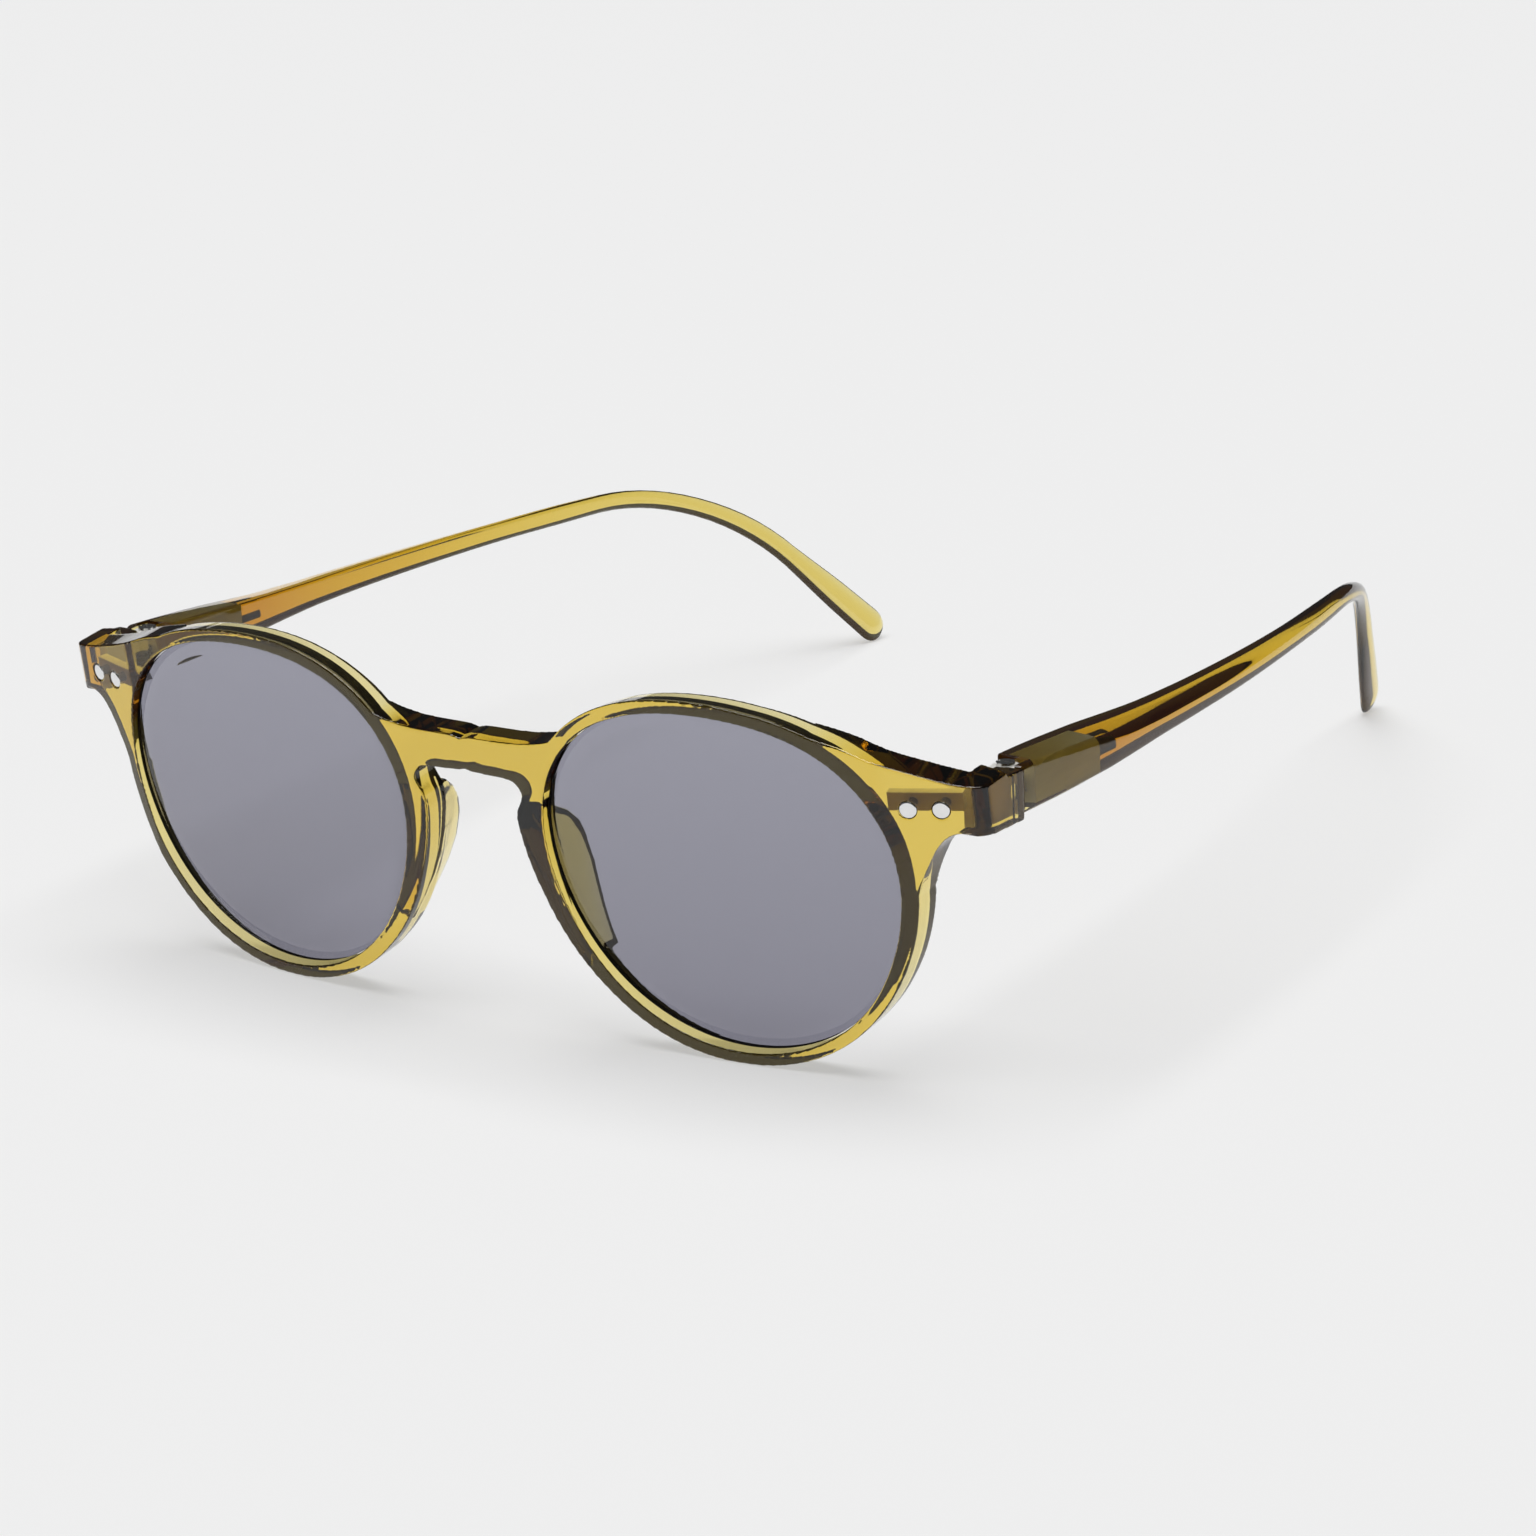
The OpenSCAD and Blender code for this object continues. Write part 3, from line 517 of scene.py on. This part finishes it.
def makeFront(values):
    half = values["width"] / 2
    toFront = Matrix.Translation(Vector(stance["hinge"]) * mm) @ Matrix.Rotation(
        math.radians(-stance["drop"]), 4, "X")
    hingeX, hingeY, hingeZ = stance["hinge"]
    # seen from the front
    front, back = -2, 22
    rimAt = faceY(centreX)
    edges = {front: [], back: []}
    for a in np.arange(0, 360, 0.75):
        grow, draft, lift = (float(np.interp(a, [r[0] for r in values[k]], [r[1] for r in values[k]]))
                             for k in ("rims", "drafts", "lifts"))
        for y in edges:
            x, z = lensOutline(lensPiece, a, grow + lift - draft * (y - rimAt))
            edges[y].append((centreX + x, centreZ + z))
    solid = prism(edges[front], front, back)
    near = np.array(edges[front]) * mm
    for v in [v for v in solid.data.vertices if v.co.y > 0]:
        i = int(np.argmin(np.hypot(near[:, 0] - v.co.x, near[:, 1] - v.co.z)))
        v.co.x, v.co.z = edges[back][i][0] * mm, edges[back][i][1] * mm
    bridge = rounded([(p[0] * lensPiece["bridge"] / 2, up(p[1])) for p in values["bridge"]])
    combine(solid, prism(bridge, -2, 22), "UNION")
    end = rounded([(centreX + p[0] * (half - centreX), up(p[1])) for p in values["end"]])
    combine(solid, prism(end, -2, 22), "UNION")
    # seen from above
    inX = half - values["armT"]
    combine(solid, prism(planOutline(values, hingeY - values["endBack"]), -45, 24, True), "INTERSECT")
    # arm that runs back to the hinge
    arm = blockBetween((inX - hingeX, -values["armL"], -values["armH"] / 2),
                       (half - hingeX, values["armGap"] / 2 - values["barrelR"], values["armH"] / 2), toFront)
    combine(arm, prism(planOutline(values, hingeY + 1), -45, 24, True), "INTERSECT")
    combine(solid, arm, "UNION")
    combine(solid, roundBar(values["barrelR"] + values["swing"], 9, toFront), "DIFFERENCE")
    # nose pad behind the rim
    first, last = values["padEdge"]
    edge = [(p[0] * lensPiece["bridge"] / 2, up(p[1])) for p in values["bridge"][first:last + 1]]
    pivot = edge[-3][0]
    pad = prism(edge + [(x + values["padThick"], z) for x, z in reversed(edge)],
                0.85 * values["deep"], values["deep"] + 2 * values["padDeep"])
    settle(pad, Matrix.Translation(Vector((pivot, values["deep"], 0)) * mm) @ Matrix.Rotation(
        -math.radians(values["padTurn"]), 4, "Z") @ Matrix.Translation(Vector((-pivot, -values["deep"], 0)) * mm))
    rows = [(values["deep"] + d * values["padDeep"], up(s)) for s, d in values["padRows"]]
    rows += [(0, rows[-1][1]), (0, rows[0][1])]
    side = prism(rows, 0, centreX)
    settle(side, Matrix(((0, 1, 0, 0), (1, 0, 0, 0), (0, 0, 1, 0), (0, 0, 0, 1))))
    outwards(side)
    combine(pad, side, "INTERSECT")
    combine(solid, pad, "UNION")
    # opening and pin holes
    opening = []
    for a in np.arange(0, 360, 0.75):
        x, z = lensOutline(lensPiece, a, 0)
        opening.append((centreX + x, centreZ + z))
    combine(solid, prism(opening, -3, 25), "DIFFERENCE")
    for i in (0, 1):
        at = pinMatrix(values, i)
        combine(solid, roundBar(values["pinHeadR"], 2 * values["pinHeadT"], at, 48), "DIFFERENCE")
    # both halves
    other = solid.copy()
    other.data = solid.data.copy()
    bpy.context.scene.collection.objects.link(other)
    settle(other, mirrorX)
    combine(solid, other, "UNION")
    solid.name = "frontMoulding"
    settle(solid, leanMatrix)
    applyModifier(solid, "REMESH", mode="VOXEL", voxel_size=values["voxel"])
    applyModifier(solid, "SMOOTH", factor=0.5, iterations=values["rounds"])
    softenPads(solid, values)
    applyModifier(solid, "DECIMATE", ratio=values["faces"] / (2 * len(solid.data.polygons)))
    smooth(solid)
    solid.data.materials.append(frontPlastic)
    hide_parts("front_frame")
    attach(solid, "front")
    return solid


def softenPads(obj, values):
    back = leanMatrix.inverted()
    pads = obj.vertex_groups.new(name="pads")
    places = np.zeros(len(obj.data.vertices) * 3, np.float32)
    obj.data.vertices.foreach_get("co", places)
    own = places.reshape(-1, 3) @ np.array(back.to_3x3()).T + np.array(back.translation)
    near = np.abs(own[:, 0]) < values["padWithin"] * mm
    weight = np.clip((own[:, 1] / mm - values["padFrom"]) / 1.2, 0, 1) * near
    for i in np.nonzero(weight > 0)[0]:
        pads.add([int(i)], float(weight[i]), "REPLACE")
    applyModifier(obj, "SMOOTH", factor=0.5, iterations=values["padRounds"], vertex_group="pads")
    obj.vertex_groups.clear()


front = makeFront(frontPiece)
print("front made,", len(front.data.polygons), "faces")


# Pins: turned heads with a soft edge and a shaft behind
pinPiece = {
    "headR": 1.1, "headT": 0.7, "shaftR": 0.6, "shaftL": 5.25,
    "wrapX": 57, "turn": 18, "start": 4.15, "pitch": 4, "height": 0.516,
    "lensHeight": 44.5, "lensDrop": -0.088, "faceRadius": 364,
    "edge": 0.16 * mm,
}


def makePins(values):
    made = []
    turn = math.radians(values["turn"])
    wrapY = values["faceRadius"] - math.sqrt(values["faceRadius"] ** 2 - values["wrapX"] ** 2)
    z = (values["lensDrop"] + values["height"] / 2) * values["lensHeight"]
    for i in (0, 1):
        bpy.ops.object.select_all(action="DESELECT")
        bpy.ops.mesh.primitive_cylinder_add(
            vertices=48, radius=values["headR"] * mm, depth=values["headT"] * mm,
            location=(0, 0, values["headT"] / 2 * mm))
        obj = bpy.context.object
        bpy.ops.object.transform_apply(location=True, rotation=False, scale=False)
        # the back face is drawn in to the shaft and out to its length
        bpy.ops.object.mode_set(mode="EDIT")
        bpy.ops.mesh.select_mode(type="FACE")
        bpy.ops.mesh.select_all(action="DESELECT")
        editDone()
        for p in obj.data.polygons:
            p.select = p.normal.z > 0.9
        bpy.ops.object.mode_set(mode="EDIT")
        bpy.ops.mesh.inset(thickness=(values["headR"] - values["shaftR"]) * mm)
        bpy.ops.mesh.extrude_region_move(
            TRANSFORM_OT_translate={"value": (0, 0, (values["shaftL"] - values["headT"]) * mm)})
        bpy.ops.mesh.select_all(action="DESELECT")
        editDone()
        # and the front face is drawn in once and let out a little, for a slight crown
        for p in obj.data.polygons:
            p.select = p.normal.z < -0.9
        bpy.ops.object.mode_set(mode="EDIT")
        bpy.ops.mesh.inset(thickness=values["edge"])
        editDone()
        for v in obj.data.vertices:
            r = math.hypot(v.co.x, v.co.y)
            if v.co.z < 0.01 * mm:
                v.co.z = 0.14 * mm if r > values["headR"] * mm * 0.97 else 0.02 * mm
        applyModifier(obj, "BEVEL", width=0.06 * mm, segments=2, limit_method="ANGLE", angle_limit=math.radians(25))
        reach = values["start"] + i * values["pitch"]
        place = Vector((values["wrapX"] + reach * math.cos(turn), wrapY + reach * math.sin(turn), z)) * mm
        settle(obj, leanMatrix @ Matrix.Translation(place)
               @ Matrix.Rotation(turn, 4, "Z") @ Matrix.Rotation(-math.pi / 2, 4, "X"))
        made.append(obj)
    bpy.ops.object.select_all(action="DESELECT")
    for obj in made:
        obj.select_set(True)
    bpy.context.view_layer.objects.active = made[0]
    bpy.ops.object.join()
    pins = made[0]
    pins.name = "pinsRight"
    outwards(pins)
    smooth(pins, 40)
    return pins


pinsRight = makePins(pinPiece)
pinsLeft = twin(pinsRight, "pinsLeft")
for obj, side in ((pinsRight, "right"), (pinsLeft, "left")):
    obj.data.materials.append(metalOf["pinSilver"])
    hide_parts("front_pins_" + side)
    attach(obj, "front")
print("pins made")


# Temples: a bar drawn out ring by ring along the cheek and round the ear
templePiece = {
    "lip": -1.2, "straight": 89, "bendR": 40, "hookDrop": 47, "hook": 19.5,
    "cheekTurn": 11.5, "hookIn": 26.5, "cheekStart": 0.27, "cheek": 0.72, "ear": 0.5,
    "rise": 0.31, "offset": 0.242,
    "height": 6.2, "slimHeight": 2.75, "tipHeight": 5.3,
    "thick": 6.3, "slimThick": 2.8,
    "heights": [
        (0, 0, 1), (0.02, 0, 0.98), (0.06, 0, 0.92), (0.1, 0, 0.84), (0.14, 0, 0.77), (0.18, 0, 0.69),
        (0.23, 0, 0.6), (0.31, 0, 0.545), (0.4, 0, 0.5), (0.5, 0, 0.47), (0.58, 1, 1.08), (0.64, 1, 1),
        (0.7, 1, 1), (0.76, 1, 1.04), (0.81, 1, 1.16), (0.87, 2, 0.66), (0.93, 2, 0.87), (1, 2, 0.96)],
    "thicks": [
        (0, 0, 0.85), (0.08, 0, 0.95), (0.14, 0, 1), (0.22, 0, 1), (0.28, 0, 0.91), (0.35, 0, 0.8),
        (0.42, 0, 0.715), (0.49, 0, 0.65), (0.6, 0, 0.57), (0.72, 1, 1.05), (0.85, 1, 0.9), (1, 1, 0.78),
        (1.2, 1, 0.68), (2, 1, 0.64)],
    # corner radii at shares of the length: top outer, top inner, bottom inner, bottom outer
    "corners": [
        (0, (0.7, 0.5, 0.6, 0.6)), (0.1, (1, 0.4, 0.6, 0.6)), (0.17, (1.5, 0.4, 0.6, 0.5)),
        (0.4, (1.6, 0.4, 0.6, 0.5)), (0.6, (1.4, 0.5, 0.8, 0.6)), (0.75, (1.2, 0.8, 0.9, 0.8)),
        (1, (1.1, 1.1, 1.1, 1.1))],
    # the section turns from a bar with round corners into an oval towards the tip
    "ovals": [(0, 0), (0.45, 0.05), (0.62, 0.35), (0.78, 0.85), (0.88, 1), (1, 1)],
    # slope of the top down to the outer side, at shares of the length
    "slopes": [(0, 0.03), (0.1, 0.08), (0.17, 0.15), (0.62, 0.15), (0.8, 0.12), (0.9, 0.05), (1, 0)],
    "reach": 0.2,
    "step": 2.4,
    "cornerSteps": 6,
    "skin": 0.03,           # how far inside the plain bar the finished one stays
    "pocket": 1.95, "pocketEnd": 2.25,
}


def alongPath(path, s, start):
    at, heading = [start, 0.0], 0.0
    for i, (length, turn) in enumerate(path):
        last = i == len(path) - 1
        here = s if last else min(s, length)
        angle = turn * here / length
        half = math.radians(angle / 2)
        chord = here if abs(angle) < 0.01 else here * math.sin(half) / half
        at = [at[0] + chord * math.cos(math.radians(heading) + half),
              at[1] + chord * math.sin(math.radians(heading) + half)]
        heading += angle
        if s <= length or last:
            return at[0], at[1], heading
        s -= length


def between(table, x, sizes):
    keys = [row[0] for row in table]
    values = [sizes[row[1]] * row[2] for row in table]
    return float(np.interp(x, keys, values))


def cornersAt(table, x):
    keys = [row[0] for row in table]
    return [float(np.interp(x, keys, [row[1][k] for row in table])) for k in range(4)]


def sectionPoints(width, height, radii, steps, oval):
    # rounded rectangle or oval, from the outer side round over the top; outer is +x
    w, h = width / 2, height / 2
    most = min(w, h) * 0.98
    centres = [(1, 1), (-1, 1), (-1, -1), (1, -1)]
    points = []
    for k, (sx, sz) in enumerate(centres):
        r = min(radii[k], most)
        for i in range(steps + 1):
            a = math.radians(90 * k + 90 * i / steps)
            b = math.radians(90 * (k * (steps + 1) + i + 0.5) / (steps + 1))
            points.append(((1 - oval) * (sx * (w - r) + r * math.cos(a)) + oval * w * math.cos(b),
                           (1 - oval) * (sz * (h - r) + r * math.sin(a)) + oval * h * math.sin(b)))
    return points


def makeTemple(values):
    bendL = values["bendR"] * math.radians(values["hookDrop"])
    lip = values["lip"]
    sidePath = [(values["straight"] - lip, 0), (bendL, -values["hookDrop"]), (values["hook"], 0)]
    sideL = sum(p[0] for p in sidePath)
    planPath = [(values["cheekStart"] * values["straight"] - lip, 0),
                (values["cheek"] * values["straight"], values["cheekTurn"]),
                (values["ear"] * values["bendR"], values["hookIn"] - values["cheekTurn"]),
                (bendL + values["hook"], 0)]
    planS = np.arange(0, 170, 0.25)
    planRows = np.array([alongPath(planPath, s, lip) for s in planS])
    wholeL = sideL + values["reach"]
    ringCount = int(wholeL / values["step"]) + 1
    tipR = values["tipHeight"] * 0.5
    stops = [0, 0.12, 0.35, 0.8] + [wholeL * i / ringCount for i in range(1, ringCount - 1)]
    stops = [s for s in stops if s < wholeL - tipR]
    stops += [wholeL - tipR + tipR * math.sin(math.radians(a)) for a in (0, 10, 20, 30, 40, 50, 60, 70, 78, 84, 88, 90)]
    steps = values["cornerSteps"]
    around = 4 * (steps + 1)
    bpy.ops.object.select_all(action="DESELECT")
    bpy.ops.mesh.primitive_circle_add(vertices=around, radius=1, fill_type="NGON")
    obj = bpy.context.object
    obj.name = "templeRight"
    editAll(obj, "FACE")
    for i in range(len(stops) - 1):
        bpy.ops.mesh.extrude_region_move(TRANSFORM_OT_translate={"value": (0, 0, 1)})
    editDone()
    # every ring now takes its place and section
    shift = math.pi * 2 / around
    for v in obj.data.vertices:
        ring = round(v.co.z)
        s = stops[ring]
        k = round((math.atan2(v.co.y, v.co.x) % (2 * math.pi)) / shift) % around
        y, z, pitch = alongPath(sidePath, s, lip)
        x = float(np.interp(y, planRows[:, 0], planRows[:, 1]))
        yaw = float(np.interp(y, planRows[:, 0], planRows[:, 2]))
        planAt = float(np.interp(y, planRows[:, 0], planS))
        height = between(values["heights"], s / sideL, (values["height"], values["slimHeight"], values["tipHeight"]))
        width = between(values["thicks"], planAt / values["straight"], (values["thick"], values["slimThick"]))
        height -= 2 * values["skin"]
        width -= 2 * values["skin"]
        left = wholeL - s
        if left < tipR:
            out = 1 - left / tipR
            height *= (1 - out ** 2.3) ** (1 / 2.3) * 0.96 + 0.04
            width *= (1 - out ** 2.6) ** (1 / 2.6) * 0.96 + 0.04
        start = s
        if start < 0.8:
            pull = (1 - math.sqrt(1 - (1 - start / 0.8) ** 2)) * 0.42
            height -= 2 * pull
            width -= 2 * pull
        oval = float(np.interp(s / sideL, [row[0] for row in values["ovals"]], [row[1] for row in values["ovals"]]))
        px, pz = sectionPoints(width, height, cornersAt(values["corners"], s / sideL), steps, oval)[k]
        slope = float(np.interp(s / sideL, [row[0] for row in values["slopes"]], [row[1] for row in values["slopes"]]))
        if pz > 0:
            pz *= 1 - 2 * slope * (px + width / 2) / height
        upY, upZ = -math.sin(math.radians(pitch)), math.cos(math.radians(pitch))
        sideX, sideY = math.cos(math.radians(yaw)), math.sin(math.radians(yaw))
        v.co = Vector((values["offset"] - x + px * sideX, y + pz * upY + px * sideY,
                       z + values["rise"] + pz * upZ)) * mm
    outwards(obj)
    # room for the hinge barrel and the front of the box
    cutters = []
    bpy.ops.object.select_all(action="DESELECT")
    bpy.ops.mesh.primitive_cylinder_add(vertices=64, radius=values["pocket"] * mm, depth=14 * mm)
    cutters.append(bpy.context.object)
    bpy.ops.object.select_all(action="DESELECT")
    bpy.ops.mesh.primitive_cube_add(size=1)
    box = bpy.context.object
    low, high = Vector((-6.3, lip - 1, -6.5)) * mm, Vector((values["pocket"], values["pocketEnd"], 6.5)) * mm
    box.dimensions = high - low
    box.location = (low + high) / 2
    bpy.ops.object.transform_apply(location=True, rotation=False, scale=True)
    cutters.append(box)
    for cutter in cutters:
        applyModifier(obj, "BOOLEAN", operation="DIFFERENCE", object=cutter, solver="EXACT")
        bpy.data.objects.remove(cutter)
    settle(obj, hingeMatrix)
    outwards(obj)
    smooth(obj, 40)
    return obj


templeRight = makeTemple(templePiece)
templeLeft = twin(templeRight, "templeLeft")
for obj, side in ((templeRight, "right"), (templeLeft, "left")):
    obj.data.materials.append(templePlastic)
    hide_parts("temple_" + side)
    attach(obj, "arm_" + side)
print("temples made,", len(templeRight.data.polygons), "faces each")


# Metal pieces of the hinges keep their own shape and take a finish
finishOf = {
    "front_hinge": "hingeSteel", "hinge_screw": "screwSteel", "spring_slide": "slideSteel",
    "hinge_spring": "springWire", "spring_stop": "stopBrass", "spring_box": "boxSteel", "box_plug": "plugSteel",
}
for start, finish in finishOf.items():
    for side in ("right", "left"):
        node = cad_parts[start + "_" + side]
        for s in node.material_slots:
            s.material = metalOf[finish]
print("hinge finishes set")


# Studio: pale floor, soft light from above and from one side
studio = {
    "floorColor": (0.4, 0.4, 0.4, 1),
    "floorGlow": 1.16,
    # near-black painted shade that the floor shows to rays trapped in the clear plastic
    "paintedShadeColor": (0.02, 0.02, 0.02, 1),
    "floorSize": 8,
    "world": (0.75, 0.76, 0.78, 1),
    "worldStrength": 0.07,
    "aim": (0, 0, 0.02),
    "lamps": [
        {"name": "ceilingLamp", "place": (0, 0, 5.5), "size": (5.5, 5.5), "power": 365},
        {"name": "sideLamp", "place": (-1.3, -0.9, 0.9), "size": (0.8, 1.2), "power": 1},
    ],
}


def makeStudio(values):
    bpy.ops.object.select_all(action="DESELECT")
    bpy.ops.mesh.primitive_plane_add(size=values["floorSize"], location=(0, 0, 0))
    floor = bpy.context.object
    floor.name = "floor"
    mat, tree, out = newMaterial("paleFloor")
    shader = tree.nodes.new("ShaderNodeBsdfPrincipled")
    shader.inputs["Base Color"].default_value = values["floorColor"]
    shader.inputs["Roughness"].default_value = 0.9
    shader.inputs["Specular IOR Level"].default_value = 0.1
    link(tree, shader.outputs["BSDF"], out.inputs["Surface"])
    # painted shade: rays that have passed into the clear plastic and reflected there see the floor's colour and glow
    # near-black, which darkens the plastic's edges and bands
    paths = tree.nodes.new("ShaderNodeLightPath")
    trapped = tree.nodes.new("ShaderNodeMath")
    trapped.operation = "MULTIPLY"
    trapped.use_clamp = True
    straight = tree.nodes.new("ShaderNodeMath")
    straight.operation = "LESS_THAN"
    straight.inputs[1].default_value = 5
    once = tree.nodes.new("ShaderNodeMath")
    once.operation = "MULTIPLY"
    link(tree, paths.outputs["Transmission Depth"], straight.inputs[0])
    link(tree, paths.outputs["Transmission Depth"], once.inputs[0])
    link(tree, straight.outputs["Value"], once.inputs[1])
    link(tree, paths.outputs["Glossy Depth"], trapped.inputs[0])
    link(tree, once.outputs["Value"], trapped.inputs[1])
    # painted shade: the floor's colour turns near-black where those rays arrive
    paintedShadeMix = tree.nodes.new("ShaderNodeMix")
    paintedShadeMix.data_type = "RGBA"
    paintedShadeMix.inputs["A"].default_value = values["floorColor"]
    paintedShadeMix.inputs["B"].default_value = values["paintedShadeColor"]
    link(tree, trapped.outputs["Value"], paintedShadeMix.inputs["Factor"])
    link(tree, paintedShadeMix.outputs["Result"], shader.inputs["Base Color"])
    # light table: half of the floor's light comes from below, so shadows stay faint
    link(tree, paintedShadeMix.outputs["Result"], shader.inputs["Emission Color"])
    shader.inputs["Emission Strength"].default_value = values["floorGlow"]
    floor.data.materials.append(mat)
    for lamp in values["lamps"]:
        bpy.ops.object.light_add(type="AREA", location=lamp["place"])
        obj = bpy.context.object
        obj.name = lamp["name"]
        obj.data.shape = "RECTANGLE"
        obj.data.size, obj.data.size_y = lamp["size"]
        obj.data.energy = lamp["power"]
        obj.visible_transmission = False   # no glare of the lamp from inside the clear plastic
        aim = Vector(values["aim"]) - Vector(lamp["place"])
        obj.rotation_euler = aim.to_track_quat("-Z", "Y").to_euler()
    world = bpy.data.worlds.new("studio")
    bpy.context.scene.world = world
    world.use_nodes = True
    back = world.node_tree.nodes["Background"]
    back.inputs["Color"].default_value = values["world"]
    back.inputs["Strength"].default_value = values["worldStrength"]
    return floor


makeStudio(studio)
bpy.context.scene.view_settings.view_transform = "Standard"


# Camera where the photograph was taken from
view = {
    "place": (408.3 * mm, -567.44 * mm, 255.15 * mm),
    "turn": (70.6485, 4.1693, 34.8838),
    "lens": 130.812,
}
bpy.ops.object.select_all(action="DESELECT")
bpy.ops.object.camera_add(location=view["place"], rotation=[math.radians(a) for a in view["turn"]])
camera = bpy.context.object
camera.name = "camera"
camera.data.sensor_width = 36
camera.data.lens = view["lens"]
camera.data.clip_start = 0.01
camera.data.clip_end = 20
bpy.context.scene.camera = camera
print("studio and camera set")
